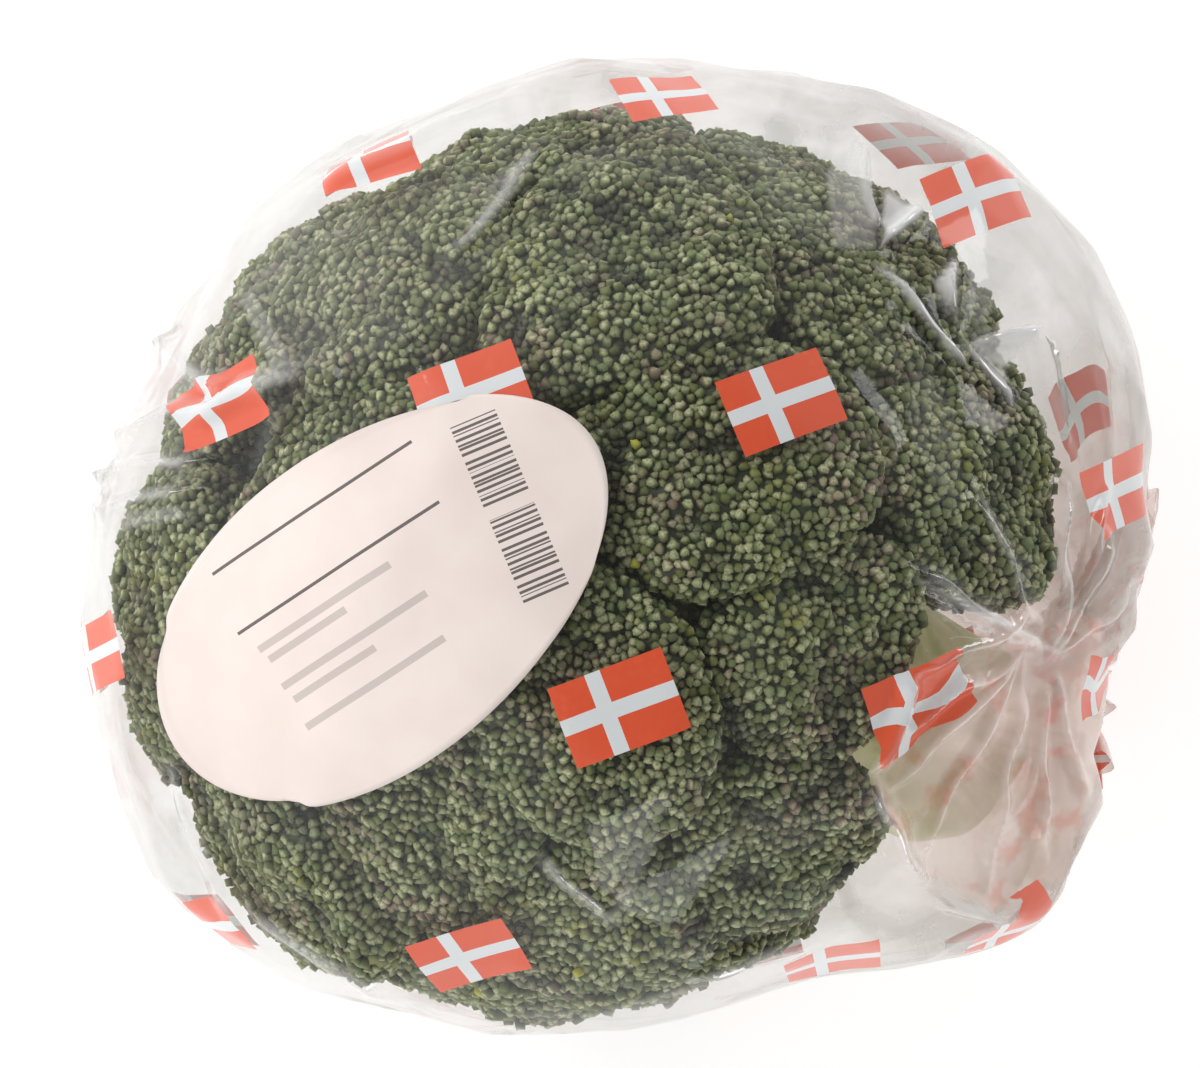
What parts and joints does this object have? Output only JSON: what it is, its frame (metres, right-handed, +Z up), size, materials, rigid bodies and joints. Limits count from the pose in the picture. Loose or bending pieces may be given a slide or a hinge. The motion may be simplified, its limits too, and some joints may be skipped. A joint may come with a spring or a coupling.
{
  "type": "broccoli head",
  "caption": "Broccoli head lying on its side in a clear printed film bag gathered over the cut stalk, with an egg-shaped paper label on top.",
  "frame": {"origin": "on the surface the bag rests on, under the middle of the bag's bounding box", "axes": "+Z up from the surface the bag lies on; +X along the bag's longest side, and the stalk points mostly to +X, partly to -Y and down; the crown's tip leans to -X"},
  "size_m": [0.1498, 0.1366, 0.1273],
  "materials": {
    "floret_buds": "matte",
    "stalk_flesh": "satin",
    "clear_film": "gloss",
    "label_paper": "matte"
  },
  "bodies": {
    "root": {"film_wrap": "clear_film", "paper_label": "label_paper", "stalk": "stalk_flesh", "floret_01": "floret_buds", "floret_02": "floret_buds", "floret_03": "floret_buds", "floret_04": "floret_buds", "floret_05": "floret_buds", "floret_06": "floret_buds", "floret_07": "floret_buds", "floret_08": "floret_buds", "floret_09": "floret_buds", "floret_10": "floret_buds", "floret_11": "floret_buds", "floret_12": "floret_buds", "floret_13": "floret_buds", "floret_14": "floret_buds", "floret_15": "floret_buds", "floret_16": "floret_buds", "floret_17": "floret_buds", "floret_18": "floret_buds", "floret_19": "floret_buds", "floret_20": "floret_buds", "floret_21": "floret_buds", "floret_22": "floret_buds", "floret_23": "floret_buds", "floret_24": "floret_buds", "floret_25": "floret_buds", "floret_26": "floret_buds", "floret_27": "floret_buds", "floret_28": "floret_buds"}
  },
  "joints": []
}
